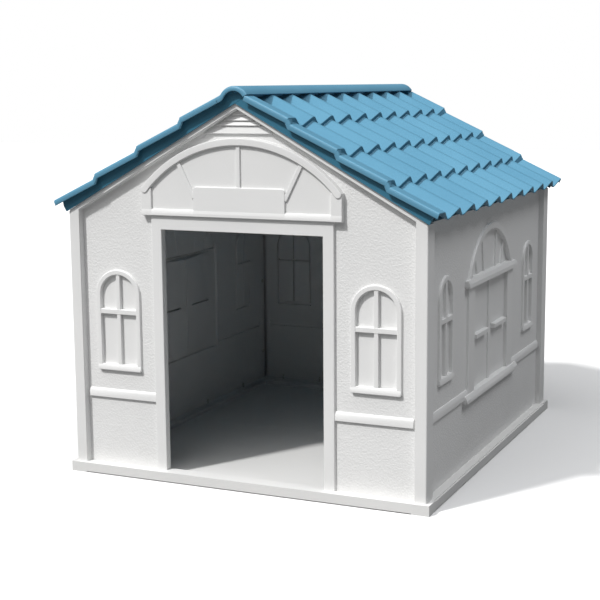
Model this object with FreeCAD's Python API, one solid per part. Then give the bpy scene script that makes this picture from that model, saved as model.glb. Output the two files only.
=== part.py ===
"""A flat-pack moulded plastic kennel: two base halves, four walls, two tiled roof panels and their fixings.

Millimetres, +Z up, front wall facing -Y. The origin is the middle of the footprint, on the ground.
Each wall is drawn in a flat frame of its own (X along the wall, Y inwards from its outermost face,
Z up) and then turned into place.
"""
import FreeCAD, Part

import math
import os

V = FreeCAD.Vector

# ---- driving dimensions ------------------------------------------------------------------------
WALL_WIDTH = 736.0          # outside of the left corner to outside of the right corner
WALL_DEPTH = 850.0          # outside of the front wall to outside of the rear wall
EAVE_HEIGHT = 522.0         # underside of the gable slope at the corners
APEX_HEIGHT = 728.0         # underside of the gable slope at the middle
SKIN = 3.0                  # moulded wall thickness
FIELD_DEPTH = 13.0          # the wall's plain field lies this far behind its corner posts

BASE_HEIGHT = 20.0
BASE_LIP = 8.0              # the base stands this far out past the walls
FLOOR_HEIGHT = 12.0         # the sunken middle of the floor
FOOT_RELIEF = 2.0           # the skirt clears the ground by this much between the corner feet
FOOT_LENGTH = 34.0

FRONT_OVERHANG = 15.0
REAR_OVERHANG = 23.0

COURSES = 4
COURSE_RUN = 94.0           # one course of tiles, measured level
COURSE_STEP = 9.2           # drop from one course to the next
COURSE_PITCH = 25.2         # slope of a single course, degrees
FIRST_COURSE_X = 17.0
FIRST_COURSE_Z = 746.0
WAVE_DEPTH = 17.0
WAVE_PITCH = 85.8
FIRST_CREST = 30.0          # first crest of the tiles behind the roof's front edge
FLANK_ANGLE = 27.0
LIP_HEIGHT = 12.0
BORDER_RISE = 0.5           # the plain front border stands this far above the crests

ROLL_X, ROLL_Z = 2.0, 728.0 # middle of the ridge roll
ROLL_R = 31.0
ROLL_FROM, ROLL_TO = 31.0, 154.0

DOOR_HALF = 166.0
DOOR_TOP = 491.0

CLEAR = 0.5                 # gap between the roof and the walls it sits over
SCREW_R = 2.0
SCREW_HEAD_R = 4.0
SCREW_HEAD = 2.5

# ---- worked out from them ----------------------------------------------------------------------
HALF_W = WALL_WIDTH / 2
ROOF_LENGTH = WALL_DEPTH + FRONT_OVERHANG + REAR_OVERHANG
ROOF_FRONT = -ROOF_LENGTH / 2
ROOF_REAR = ROOF_LENGTH / 2
FRONT = ROOF_FRONT + FRONT_OVERHANG
REAR = ROOF_REAR - REAR_OVERHANG
MIDDLE = (FRONT + REAR) / 2
GABLE_SLOPE = (APEX_HEIGHT - EAVE_HEIGHT) / HALF_W
FIELD_BACK = FIELD_DEPTH + SKIN

POST = 22.0                 # width of a corner post on the gable walls
RETURN = 36.0               # how far a corner post wraps round the side
RAKE = 8.0                  # width of the trim along the gable slope
SIDE_PLATE = 12.0           # outer face of a side wall, behind the corner posts' outer face
SIDE_END = 17.0             # a side wall stops this far short of the gable walls' outer faces
SCREW_LINE = 27.0           # corner screws, from the gable wall's outer face
SCREW_HEIGHTS = (90.0, 270.0, 450.0)
WALL_TOP = 519.0
THUMB_X = 344.0
THUMB_CRESTS = (1.5, 8.5)   # thumbscrews stand under these wave valleys, in wave pitches


# ---- small builders ----------------------------------------------------------------------------
def block(x0, x1, y0, y1, z0, z1):
    return Part.makeBox(x1 - x0, y1 - y0, z1 - z0, V(x0, y0, z0))


def rod(radius, start, end):
    run = end - start
    return Part.makeCylinder(radius, run.Length, start, run)


def plate(edges_or_points, y0, y1):
    """A flat shape in the XZ plane, given as points or as edges, thickened from y0 to y1."""
    if isinstance(edges_or_points[0], tuple):
        corners = [V(x, 0, z) for x, z in edges_or_points]
        wire = Part.makePolygon(corners + corners[:1])
    else:
        wire = Part.Wire(edges_or_points)
    face = Part.Face(wire)
    face.translate(V(0, y0, 0))
    return face.extrude(V(0, y1 - y0, 0))


def arched(left, right, bottom, top, y0, y1):
    """An upright panel with a half-round head."""
    half = (right - left) / 2
    spring = top - half
    a, b = V(left, 0, bottom), V(right, 0, bottom)
    c, d = V(right, 0, spring), V(left, 0, spring)
    crown = V(left + half, 0, top)
    edges = [Part.makeLine(a, b), Part.makeLine(b, c),
             Part.Arc(c, crown, d).toShape(), Part.makeLine(d, a)]
    return plate(edges, y0, y1)


def lunette(half, base, crown, y0, y1):
    """A low arch standing on a straight base, centred on the wall."""
    left, right = V(-half, 0, base), V(half, 0, base)
    return plate([Part.makeLine(left, right), Part.Arc(right, V(0, 0, crown), left).toShape()], y0, y1)


def slanted_bar(start, end, width, y0, y1):
    """A straight bar in the XZ plane between two points."""
    dx, dz = end[0] - start[0], end[1] - start[1]
    run = math.hypot(dx, dz)
    sx, sz = -dz / run * width / 2, dx / run * width / 2
    corners = [(start[0] + sx, start[1] + sz), (end[0] + sx, end[1] + sz),
               (end[0] - sx, end[1] - sz), (start[0] - sx, start[1] - sz)]
    return plate(corners, y0, y1)


def joined(solids):
    body = solids[0].fuse(solids[1:]) if len(solids) > 1 else solids[0]
    return body.removeSplitter()


def mirrored(shape):
    return shape.mirror(V(0, 0, 0), V(1, 0, 0))


# ---- wall mouldings, in a wall's own flat frame ------------------------------------------------
FRAME_PROUD = 5.0           # window frames stand this far out of the field
PANE_SUNK = 4.0             # window panes lie this far behind it
BAR_PROUD = 2.0


def window(centre, bottom, top, width, field):
    """(added, cut) solids of one small arched window in a wall whose field lies at this depth."""
    band, mullion, sill = 9.0, 10.0, 11.0
    left, right = centre - width / 2, centre + width / 2
    rail = bottom + (top - bottom) * 0.585
    face, back = field - FRAME_PROUD, field + SKIN
    pane = field + PANE_SUNK
    frame = arched(left, right, bottom, top, face, back)
    bulge = arched(left + band - SKIN, right - band + SKIN, bottom + sill - SKIN, top - band + SKIN,
                   back - 1, pane + SKIN)
    light = arched(left + band, right - band, bottom + sill, top - band, face - 1, pane)
    bars = [block(centre - mullion / 2, centre + mullion / 2, field - BAR_PROUD, pane + 1,
                  bottom + sill - 1, top - band / 2),
            block(left + band / 2, right - band / 2, face, pane + 1, rail - 5.5, rail + 5.5)]
    return [frame, bulge], [light], bars


def gable_wall(with_door):
    """Front or rear wall: a tray with raised corner posts and rake trim round a sunken field."""
    inner_eave = EAVE_HEIGHT + CLEAR
    foot = BASE_HEIGHT
    outline = [(-HALF_W, foot), (HALF_W, foot), (HALF_W, inner_eave), (0, APEX_HEIGHT + CLEAR),
               (-HALF_W, inner_eave)]
    drop = RAKE / math.cos(math.atan(GABLE_SLOPE))
    inside = HALF_W - POST
    shoulder = APEX_HEIGHT - drop - GABLE_SLOPE * inside
    tray = [(-inside, foot), (inside, foot), (inside, shoulder), (0, APEX_HEIGHT - drop),
            (-inside, shoulder)]
    body = plate(outline, 0, FIELD_BACK).cut(plate(tray, -1, FIELD_DEPTH))
    # the corner posts are hollow behind and open into the returns that lap the side walls
    hollow_top = inner_eave - 2 * SKIN
    hollows = [block(inside + SKIN, HALF_W - SKIN, SKIN, FIELD_BACK + 1, foot - 1, hollow_top)]
    returns = [block(HALF_W - SKIN, HALF_W, 0, RETURN, foot, inner_eave - 2),
               block(HALF_W - SIDE_PLATE, HALF_W, RETURN - SKIN, RETURN, foot, inner_eave - 9)]
    bosses = [rod(5, V(HALF_W - SIDE_PLATE, SCREW_LINE, z), V(HALF_W - 1, SCREW_LINE, z))
              for z in SCREW_HEIGHTS]
    pilots = [rod(SCREW_R, V(HALF_W - SIDE_PLATE - 1, SCREW_LINE, z),
                  V(HALF_W - SKIN - 1, SCREW_LINE, z)) for z in SCREW_HEIGHTS]
    body = body.cut(hollows + [mirrored(h) for h in hollows])
    # the slope's inner edge is rebated to clear the undersides of the tiles
    rebate = [(-HALF_W - 1, inner_eave - RAKE), (0, APEX_HEIGHT - RAKE + 3), (HALF_W + 1, inner_eave - RAKE),
              (HALF_W + 1, APEX_HEIGHT + 9), (-HALF_W - 1, APEX_HEIGHT + 9)]
    body = body.cut(plate(rebate, RAKE, FIELD_BACK + 1))
    added = returns + bosses
    added = added + [mirrored(a) for a in added]
    cuts = pilots + [mirrored(c) for c in pilots]
    bars = []
    for side in (-1, 1):
        frame, light, glazing = window(side * 268, 209, 409, 99, FIELD_DEPTH)
        added, cuts, bars = added + frame, cuts + light, bars + glazing
        low, high = sorted((side * 188, side * 340))
        bars.append(block(low, high, FIELD_DEPTH - 4.5, FIELD_BACK, 153, 171))
    added += pediment()
    if with_door:
        added.append(block(-188.5, 188.5, FIELD_DEPTH - 6, FIELD_BACK, foot, 519))
        added += [block(s - SKIN / 2, s + SKIN / 2, FIELD_BACK - 1, FIELD_BACK + 5, foot, 500)
                  for s in (-DOOR_HALF - SKIN / 2, DOOR_HALF + SKIN / 2)]
        cuts.append(block(-DOOR_HALF, DOOR_HALF, -1, FIELD_BACK + 6, foot - 1, DOOR_TOP))
    else:
        frame, light, glazing = window(0, 209, 500, 190, FIELD_DEPTH)
        added, cuts, bars = added + frame, cuts + light, bars + glazing
    return joined([joined([body] + added).cut(cuts)] + bars)


def pediment():
    """The arched block over the doorway, its fan bars, its blank plate and the gable's blind slats."""
    centre, outer, inner = 398.0, 269.0, 254.5
    side, foot, tympanum = 205.0, 518.0, 183.5
    reach = math.asin((560.5 - centre) / ((outer + inner) / 2))
    tip = lambda r, way: V(way * r * math.cos(reach), 0, centre + r * math.sin(reach))
    crown = lambda r: V(0, 0, centre + r)
    band = plate([Part.Arc(tip(outer, 1), crown(outer), tip(outer, -1)).toShape(),
                  Part.makeLine(tip(outer, -1), tip(inner, -1)),
                  Part.Arc(tip(inner, -1), crown(inner), tip(inner, 1)).toShape(),
                  Part.makeLine(tip(inner, 1), tip(outer, 1))], 0.5, FIELD_BACK)
    fill = plate([Part.makeLine(V(-side, 0, foot), V(side, 0, foot)),
                  Part.makeLine(V(side, 0, foot), V(side, 0, 562)),
                  Part.Arc(V(side, 0, 562), V(0, 0, centre + inner + 4), V(-side, 0, 562)).toShape(),
                  Part.makeLine(V(-side, 0, 562), V(-side, 0, foot))], 6, FIELD_BACK)
    bars = [block(-side, side, 1, 8, foot, 531),
            block(tympanum, side, 2, 8, foot, 565), block(-side, -tympanum, 2, 8, foot, 565),
            block(-94.5, 94.5, 2.5, 8, foot, 575), block(-4.5, 4.5, 3.5, 8, 574, 654),
            slanted_bar((95, 557), (127, 620), 9, 3.5, 8), slanted_bar((-95, 557), (-127, 620), 9, 3.5, 8)]
    heights = (670.0, 684.5, 693.5, 703.0, 711.0)
    slats = []
    for low, high in zip(heights, heights[1:]):
        half = (711 - low) / 0.62
        slats.append(plate([(-half, low), (half, low), (half - 10 if half > 14 else 2, high),
                            (-half + 10 if half > 14 else -2, high)], FIELD_DEPTH - 4, FIELD_BACK))
    return [band, fill] + bars + slats


def side_wall():
    """A flat panel between the corner returns, with a large arched window and two small ones."""
    half = WALL_DEPTH / 2 - SIDE_END
    skin = SIDE_PLATE + SKIN
    body = block(-half, half, SIDE_PLATE, skin, BASE_HEIGHT, WALL_TOP)
    added = [block(-half, half, SIDE_PLATE, SIDE_PLATE + 24, WALL_TOP - SKIN, WALL_TOP)]
    cuts, bars = [], []
    for side in (-1, 1):
        frame, light, glazing = window(side * 291, 214, 414, 86, SIDE_PLATE)
        added, cuts, bars = added + frame, cuts + light, bars + glazing
        low, high = sorted((side * 158, side * (WALL_DEPTH / 2 - RETURN - 1)))
        bars.append(block(low, high, SIDE_PLATE - 4.5, skin, 153, 171))
    face, pane = SIDE_PLATE - FRAME_PROUD, SIDE_PLATE + PANE_SUNK
    added += [block(-158, 158, face, skin, 146, 384),
              block(-136, 136, skin - 1, pane + SKIN, 152, 378),
              lunette(156, 379, 484, face, skin), lunette(143, 384, 474, skin - 1, pane + SKIN)]
    cuts += [block(-134, 134, face - 1, pane, 160, 374), lunette(139, 387, 471, face - 1, pane)]
    bars += [block(-190, 190, 1.5, skin, 371, 387), block(-190, 190, 0.5, skin, 146, 162),
             block(-5, 5, SIDE_PLATE - BAR_PROUD, pane + 1, 160, 374)]
    bars += [block(low, low + 108, face, pane + 1, 262, 272) for low in (-130, 22)]
    for foot, head, height in ((38, 51, 468), (85, 106, 434)):
        bars += [slanted_bar((way * foot, 384), (way * head, height), 8, SIDE_PLATE - BAR_PROUD, pane + 1)
                 for way in (-1, 1)]
    for end in (-1, 1):
        y = end * (WALL_DEPTH / 2 - SCREW_LINE)
        cuts += [rod(SCREW_R + 0.3, V(y, SIDE_PLATE - 1, z), V(y, skin + 1, z)) for z in SCREW_HEIGHTS]
    inset = HALF_W - THUMB_X
    cuts += [rod(4.2, V(u, inset, WALL_TOP - 5), V(u, inset, WALL_TOP + 1)) for u in thumb_places()]
    return joined([joined([body] + added).cut(cuts)] + bars)


def thumb_places():
    """Where the roof's thumbscrews stand along a side wall, measured from its middle."""
    return [ROOF_FRONT + FIRST_CREST + WAVE_PITCH * n - MIDDLE for n in THUMB_CRESTS]


# ---- base --------------------------------------------------------------------------------------
BASE_X = HALF_W + BASE_LIP
BASE_FRONT = FRONT - BASE_LIP
BASE_REAR = REAR + BASE_LIP
FLOOR_X = 330.0
FLOOR_FRONT = FRONT + 22
FLOOR_REAR = REAR - 58
SEAM_LAP = 24.0
RIB = 3.0


def base_tray():
    """The whole floor as one moulding: lip, sunken floor, hollow underneath with crossed ribs."""
    tray = block(-BASE_X, BASE_X, BASE_FRONT, BASE_REAR, 0, BASE_HEIGHT)
    well = block(-FLOOR_X, FLOOR_X, FLOOR_FRONT, FLOOR_REAR, FLOOR_HEIGHT, BASE_HEIGHT + 1)
    relief = [block(-BASE_X + FOOT_LENGTH, BASE_X - FOOT_LENGTH, BASE_FRONT - 1, BASE_FRONT + 12,
                    -1, FOOT_RELIEF),
              block(-BASE_X + FOOT_LENGTH, BASE_X - FOOT_LENGTH, BASE_REAR - 12, BASE_REAR + 1,
                    -1, FOOT_RELIEF)]
    relief += [block(x - 12, x + 12, BASE_FRONT + FOOT_LENGTH, BASE_REAR - FOOT_LENGTH, -1, FOOT_RELIEF)
               for x in (-BASE_X, BASE_X)]
    # the side lips sit a little lower than the corners
    relief += [block(x - 3, x + 3, BASE_FRONT + FOOT_LENGTH, BASE_REAR - FOOT_LENGTH,
                     BASE_HEIGHT - 2, BASE_HEIGHT + 1) for x in (-BASE_X, BASE_X)]
    return tray.cut([well] + relief + underside_pockets())


def underside_pockets():
    """The hollows between the ribs, kept clear of the seam's lap."""
    columns, rows = 6, 3
    pockets = []
    edge_x = BASE_X - 14
    for start, end in ((BASE_FRONT + 14, MIDDLE - SEAM_LAP - RIB), (MIDDLE + SEAM_LAP + RIB, BASE_REAR - 14)):
        step_x, step_y = 2 * edge_x / columns, (end - start) / rows
        for i in range(columns):
            for j in range(rows):
                pockets.append(block(-edge_x + i * step_x + RIB / 2, -edge_x + (i + 1) * step_x - RIB / 2,
                                     start + j * step_y + RIB / 2, start + (j + 1) * step_y - RIB / 2,
                                     -1, FLOOR_HEIGHT - SKIN))
    return pockets


def seam_screw_places():
    return [V(x, MIDDLE, 0) for x in (-300, -150, 0, 150, 300)]


def base_halves():
    """The tray split across its middle, the front half carrying a tongue under the rear half."""
    tray = base_tray()
    level = FLOOR_HEIGHT / 2
    front_zone = [block(-500, 500, -600, MIDDLE - SEAM_LAP / 2, -5, 40),
                  block(-500, 500, -600, MIDDLE + SEAM_LAP / 2, -5, level)]
    rear_zone = [block(-500, 500, MIDDLE + SEAM_LAP / 2, 600, -5, 40),
                 block(-500, 500, MIDDLE - SEAM_LAP / 2 + 0.6, 600, level, 40)]
    front, rear = tray.common(joined(front_zone)), tray.common(joined(rear_zone))
    for place in seam_screw_places():
        front = front.cut([rod(SCREW_R + 0.3, place - V(0, 0, 1), place + V(0, 0, level + 1)),
                           rod(SCREW_HEAD_R + 0.5, place - V(0, 0, 1), place + V(0, 0, 3.4))])
        rear = rear.cut(rod(SCREW_R, place + V(0, 0, level - 1), place + V(0, 0, FLOOR_HEIGHT - 2)))
    places = foot_screws("front") + foot_screws("left", upper=MIDDLE) + foot_screws("right", upper=MIDDLE)
    front = front.cut([foot_hole(p) for p in places])
    places = foot_screws("rear") + foot_screws("left", lower=MIDDLE) + foot_screws("right", lower=MIDDLE)
    rear = rear.cut([foot_hole(p) for p in places])
    return front, rear


# ---- fixings -----------------------------------------------------------------------------------
def screw(place, direction, length):
    """A pan-head screw: its head starts at place and its shank runs along direction."""
    tip = place + direction * length
    head = rod(SCREW_HEAD_R, place - direction * SCREW_HEAD, place)
    slot = block(-0.6, 0.6, -SCREW_HEAD_R, SCREW_HEAD_R, -1.0, 0)
    slot.Placement = FreeCAD.Placement(place - direction * (SCREW_HEAD - 0.95),
                                       FreeCAD.Rotation(V(0, 0, -1), direction * -1))
    return head.fuse(rod(SCREW_R, place - direction, tip)).cut(slot).removeSplitter()


def corner_screws(side, end):
    """Three screws through a side wall's end into the gable wall's return."""
    x = side * (HALF_W - SIDE_PLATE - SKIN)
    y = FRONT + SCREW_LINE if end < 0 else REAR - SCREW_LINE
    return Part.makeCompound([screw(V(x, y, z), V(side, 0, 0), 10) for z in SCREW_HEIGHTS])


def foot_screws(wall, lower=-1e6, upper=1e6):
    """Places under one wall where a screw comes up through the base into the wall's foot."""
    across, along = (-300, -200, 200, 300), (-280, -95, 95, 280)
    inset_gable, inset_side = FIELD_BACK + 2.5, HALF_W - SIDE_PLATE - SKIN - 2.5
    places = {"front": [V(x, FRONT + inset_gable, 0) for x in across],
              "rear": [V(x, REAR - inset_gable, 0) for x in across],
              "left": [V(-inset_side, MIDDLE + y, 0) for y in along],
              "right": [V(inset_side, MIDDLE + y, 0) for y in along]}[wall]
    return [p for p in places if lower < p.y < upper]


FOOT_BOSS_R = 5.0
FOOT_SCREW_SEAT = 9.0


def foot_hole(place):
    return rod(SCREW_R + 0.3, place - V(0, 0, 1), place + V(0, 0, BASE_HEIGHT + 1)).fuse(
        rod(SCREW_HEAD_R + 0.5, place - V(0, 0, 1), place + V(0, 0, FOOT_SCREW_SEAT)))


def with_foot_bosses(wall_shape, wall):
    """Adds the blind bosses at a wall's foot that the base screws bite into."""
    bosses = [rod(FOOT_BOSS_R, p + V(0, 0, BASE_HEIGHT), p + V(0, 0, BASE_HEIGHT + 16))
              for p in foot_screws(wall)]
    holes = [rod(SCREW_R, p + V(0, 0, BASE_HEIGHT - 1), p + V(0, 0, BASE_HEIGHT + 13))
             for p in foot_screws(wall)]
    return joined([wall_shape] + bosses).cut(holes)


def foot_screw_set(wall):
    return Part.makeCompound([screw(p + V(0, 0, FOOT_SCREW_SEAT), V(0, 0, 1), 22)
                              for p in foot_screws(wall)])


def thumbscrews(side):
    """Wing-headed plastic screws, up through a side wall's top flange into the roof."""
    screws = []
    for u in thumb_places():
        y = MIDDLE + u
        seat = V(side * THUMB_X, y, WALL_TOP - SKIN)
        shank = rod(3.5, seat - V(0, 0, 1), seat + V(0, 0, 12))
        collar = rod(7, seat - V(0, 0, 3), seat)
        wing = block(seat.x - 1.5, seat.x + 1.5, y - 13, y + 13, seat.z - 14, seat.z - 2)
        screws.append(joined([shank, collar, wing]))
    return Part.makeCompound(screws)


BOLT_PLACES = (-300.0, -100.0, 100.0, 300.0)
BOLT_Z = 713.0
FLANGE_FOOT = 704.0


def ridge_bolts():
    bolts = []
    for y in BOLT_PLACES:
        head = rod(6, V(-SKIN - 4, y, BOLT_Z), V(-SKIN, y, BOLT_Z))
        bolts.append(head.fuse(rod(3, V(-SKIN - 1, y, BOLT_Z), V(SKIN + 10, y, BOLT_Z))))
    return Part.makeCompound(bolts)


def ridge_wing_nuts():
    nuts = []
    for y in BOLT_PLACES:
        hub = rod(6.5, V(SKIN, y, BOLT_Z), V(SKIN + 6, y, BOLT_Z))
        wings = block(SKIN + 2, SKIN + 9, y - 15, y + 15, BOLT_Z - 1.5, BOLT_Z + 1.5)
        bore = rod(3.0, V(SKIN - 1, y, BOLT_Z), V(SKIN + 10, y, BOLT_Z))
        nuts.append(joined([hub, wings]).cut(bore))
    return Part.makeCompound(nuts)


# ---- roof --------------------------------------------------------------------------------------
PITCH_RAD = math.radians(COURSE_PITCH)
COURSE_LENGTH = COURSE_RUN / math.cos(PITCH_RAD)
STEP_NORMAL = COURSE_STEP * math.cos(PITCH_RAD)
STEP_ALONG = COURSE_STEP * math.sin(PITCH_RAD)


def wave_edges(level):
    """The tiles' cross-section along the roof, as tangent lines and arcs; crests lie at this level."""
    angle = math.radians(FLANK_ANGLE)
    half = WAVE_PITCH / 2
    # crest and valley radius for the chosen flank angle, wave depth and pitch
    radius = (half - WAVE_DEPTH / math.tan(angle)) / (2 * math.tan(angle / 2))
    reach, fall = radius * math.sin(angle), radius * (1 - math.cos(angle))
    at = lambda y, n: V(0, ROOF_FRONT + y, level + n)
    edges = [Part.makeLine(at(0, BORDER_RISE), at(FIRST_CREST - 12, BORDER_RISE / 2)),
             Part.makeLine(at(FIRST_CREST - 12, BORDER_RISE / 2), at(FIRST_CREST, 0))]
    place = FIRST_CREST
    waves = round((ROOF_LENGTH - FIRST_CREST) / WAVE_PITCH)
    mid = radius * math.sin(angle / 2), radius * (1 - math.cos(angle / 2))
    for _ in range(waves):
        top, foot = place, place + half
        a, b = at(top, 0), at(top + reach, -fall)
        c, d = at(foot - reach, -WAVE_DEPTH + fall), at(foot + reach, -WAVE_DEPTH + fall)
        e, f = at(top + WAVE_PITCH - reach, -fall), at(top + WAVE_PITCH, 0)
        edges += [Part.Arc(a, at(top + mid[0], -mid[1]), b).toShape(), Part.makeLine(b, c),
                  Part.Arc(c, at(foot, -WAVE_DEPTH), d).toShape(), Part.makeLine(d, e),
                  Part.Arc(e, at(top + WAVE_PITCH - mid[0], -mid[1]), f).toShape()]
        place += WAVE_PITCH
    return edges


def wave_band(low, high, start, end):
    """The tiles' section between two levels, run from start to end down the slope."""
    upper, lower = wave_edges(high), wave_edges(low)
    first = [e.Vertexes[0].Point for e in (upper[0], lower[0])]
    last = [e.Vertexes[-1].Point for e in (upper[-1], lower[-1])]
    ends = [Part.makeLine(first[1], first[0]), Part.makeLine(last[0], last[1])]
    wire = Part.Wire(Part.sortEdges(upper + lower + ends)[0])
    band = Part.Face(wire)
    band.translate(V(start, 0, 0))
    return band.extrude(V(end - start, 0, 0))


def course_place(k):
    """Puts a course drawn along X with its crests at Z=0 onto the right-hand slope."""
    start = V(FIRST_COURSE_X + k * COURSE_RUN, 0,
              FIRST_COURSE_Z - k * (COURSE_RUN * math.tan(PITCH_RAD) + COURSE_STEP))
    return FreeCAD.Placement(start, FreeCAD.Rotation(V(0, 1, 0), COURSE_PITCH))


def course(k, head):
    """One course of tiles with its riser and its front and rear lips. head is how far it runs on uphill."""
    last = k == COURSES - 1
    foot = COURSE_LENGTH
    pieces = [wave_band(-SKIN, 0, -head, foot)]
    if not last:
        pieces.append(wave_band(-STEP_NORMAL - SKIN, -SKIN, foot - SKIN, foot))
    for y in (ROOF_FRONT, ROOF_REAR - SKIN):
        pieces.append(block(-head, foot, y, y + SKIN, -LIP_HEIGHT, -SKIN / 2))
    solid = joined(pieces)
    solid.Placement = course_place(k)
    return solid


def web(y0, y1, upper):
    """The straight-bottomed plate inside each end of the roof, just outside the gable wall."""
    slope = math.atan(GABLE_SLOPE)
    tip_x = 371.0
    points = [(0, APEX_HEIGHT), (tip_x, APEX_HEIGHT - GABLE_SLOPE * tip_x),
              (tip_x + 12 * math.sin(slope), APEX_HEIGHT - GABLE_SLOPE * tip_x + 12 * math.cos(slope))]
    top = []
    for k in range(COURSES):
        place = course_place(k)
        a, b = place.multVec(V(0, 0, upper)), place.multVec(V(COURSE_LENGTH - 1, 0, upper))
        top += [(a.x, a.z), (b.x, b.z)]
    top[-1] = (tip_x + 16, top[-2][1] - (tip_x + 16 - top[-2][0]) * math.tan(PITCH_RAD))
    top[0] = (0, top[0][1] + (top[0][0]) * math.tan(PITCH_RAD) - 3)
    return plate(points + top[::-1], y0, y1)


def roof_slope():
    """What both roof panels share, drawn as the right-hand one."""
    pieces = [course(0, 9.0)]
    pieces += [course(k, STEP_ALONG + SKIN) for k in range(1, COURSES)]
    pieces += [web(FRONT - 1 - SKIN, FRONT - 1, -2.8), web(REAR + 1, REAR + 1 + SKIN, -8.0)]
    flange_top = course_place(0).multVec(V(-9, 0, -1)).z
    pieces.append(block(0, SKIN, FRONT + 24, REAR - 24, FLANGE_FOOT, flange_top - 6))
    # a level strip ties the flange to the tiles' undersides
    pieces.append(block(0, 14, FRONT + 24, REAR - 24, flange_top - 10, flange_top - 6))
    return pieces


def thumb_boss_blank(u):
    y = MIDDLE + u
    return rod(8, V(THUMB_X, y, WALL_TOP + CLEAR), V(THUMB_X, y, WALL_TOP + 24))


def thumb_boss_hole(u):
    y = MIDDLE + u
    return rod(3.9, V(THUMB_X, y, WALL_TOP - 1), V(THUMB_X, y, WALL_TOP + 12))


def ridge_roll():
    """The half-round cap over the ridge, with the foot that stands it on the left panel's tiles."""
    centre, outer, inner = V(ROLL_X, 0, ROLL_Z), ROLL_R, ROLL_R - SKIN
    start, end = math.radians(ROLL_FROM), math.radians(ROLL_TO)
    middle = (start + end) / 2
    spot = lambda r, a: centre + V(r * math.cos(a), 0, r * math.sin(a))
    shell = [Part.Arc(spot(outer, start), spot(outer, middle), spot(outer, end)).toShape(),
             Part.makeLine(spot(outer, end), spot(inner, end)),
             Part.Arc(spot(inner, end), spot(inner, middle), spot(inner, start)).toShape(),
             Part.makeLine(spot(inner, start), spot(outer, start))]
    foot = block(3.5, 6.5, ROOF_FRONT, ROOF_REAR, -WAVE_DEPTH - SKIN, 1)
    foot.Placement = course_place(0)
    return [plate(shell, ROOF_FRONT, ROOF_REAR), mirrored(foot)]


def roof_panel(side):
    """side is 1 for the right-hand panel, -1 for the left-hand one, which also carries the ridge roll."""
    pieces = roof_slope() + [thumb_boss_blank(u) for u in thumb_places()]
    holes = [thumb_boss_hole(u) for u in thumb_places()]
    holes += [rod(3.0, V(-1, y, BOLT_Z), V(SKIN + 1, y, BOLT_Z)) for y in BOLT_PLACES]
    panel = joined(pieces).cut(holes)
    if side < 0:
        panel = joined([mirrored(panel)] + ridge_roll())
    return panel


# ---- the whole kennel --------------------------------------------------------------------------
def turned(shape, x, y, degrees):
    copy = shape.copy()
    copy.Placement = FreeCAD.Placement(V(x, y, 0), FreeCAD.Rotation(V(0, 0, 1), degrees))
    return copy


def pieces():
    front_base, rear_base = base_halves()
    yield "base_front_half", front_base
    yield "base_rear_half", rear_base
    yield "base_seam_screws", Part.makeCompound(
        [screw(place + V(0, 0, 3.4), V(0, 0, 1), 6.5) for place in seam_screw_places()])
    yield "front_wall", with_foot_bosses(turned(gable_wall(True), 0, FRONT, 0), "front")
    yield "rear_wall", with_foot_bosses(turned(gable_wall(False), 0, REAR, 180), "rear")
    side = side_wall()
    yield "left_wall", with_foot_bosses(turned(mirrored(side), -HALF_W, MIDDLE, -90), "left")
    yield "right_wall", with_foot_bosses(turned(side, HALF_W, MIDDLE, 90), "right")
    for name, x, y in (("front_left", -1, -1), ("front_right", 1, -1), ("rear_left", -1, 1), ("rear_right", 1, 1)):
        yield name + "_corner_screws", corner_screws(x, y)
    for wall in ("front", "rear", "left", "right"):
        yield wall + "_wall_foot_screws", foot_screw_set(wall)
    yield "left_roof_panel", roof_panel(-1)
    yield "right_roof_panel", roof_panel(1)
    yield "left_roof_thumbscrews", thumbscrews(-1)
    yield "right_roof_thumbscrews", thumbscrews(1)
    yield "ridge_bolts", ridge_bolts()
    yield "ridge_wing_nuts", ridge_wing_nuts()


def main():
    os.makedirs("parts", exist_ok=True)
    for name, shape in pieces():
        shape.exportStep("parts/" + name + ".step")
        box = shape.BoundBox
        print("%-26s solids %2d  valid %s  volume %9.1f cm3  x %7.1f %7.1f  y %7.1f %7.1f  z %6.1f %6.1f" % (
            name, len(shape.Solids), shape.isValid(), shape.Volume / 1000,
            box.XMin, box.XMax, box.YMin, box.YMax, box.ZMin, box.ZMax))


if __name__ == "__main__":
    main()
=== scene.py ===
"""Looks of a flat-pack moulded plastic kennel: moulded walls, tiled roof, base tray and fixings.

Outlines are drawn in millimetres in each panel's own flat frame: across, up, and depth behind the panel's
outermost face. They become metres, in the kennel's frame, when a mesh is made.
"""
import math

import bmesh
import bpy
import numpy as np
from mathutils import Euler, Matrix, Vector
from mathutils.geometry import delaunay_2d_cdt


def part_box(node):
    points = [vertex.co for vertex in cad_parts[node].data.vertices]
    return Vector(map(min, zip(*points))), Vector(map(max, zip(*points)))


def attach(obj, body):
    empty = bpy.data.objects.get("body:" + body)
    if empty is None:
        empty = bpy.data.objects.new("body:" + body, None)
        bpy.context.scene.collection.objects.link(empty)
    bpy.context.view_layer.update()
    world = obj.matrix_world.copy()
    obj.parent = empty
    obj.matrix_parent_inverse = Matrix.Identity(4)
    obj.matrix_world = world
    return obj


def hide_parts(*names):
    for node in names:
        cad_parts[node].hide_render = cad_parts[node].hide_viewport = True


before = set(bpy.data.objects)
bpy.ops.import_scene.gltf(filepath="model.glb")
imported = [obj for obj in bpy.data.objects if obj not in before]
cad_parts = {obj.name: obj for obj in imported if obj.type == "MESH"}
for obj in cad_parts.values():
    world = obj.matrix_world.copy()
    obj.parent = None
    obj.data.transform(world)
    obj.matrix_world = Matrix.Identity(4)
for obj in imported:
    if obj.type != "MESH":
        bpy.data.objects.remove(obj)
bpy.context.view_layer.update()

MM = 0.001
SKIN = 3.0                              # thickness of every moulded skin


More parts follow.
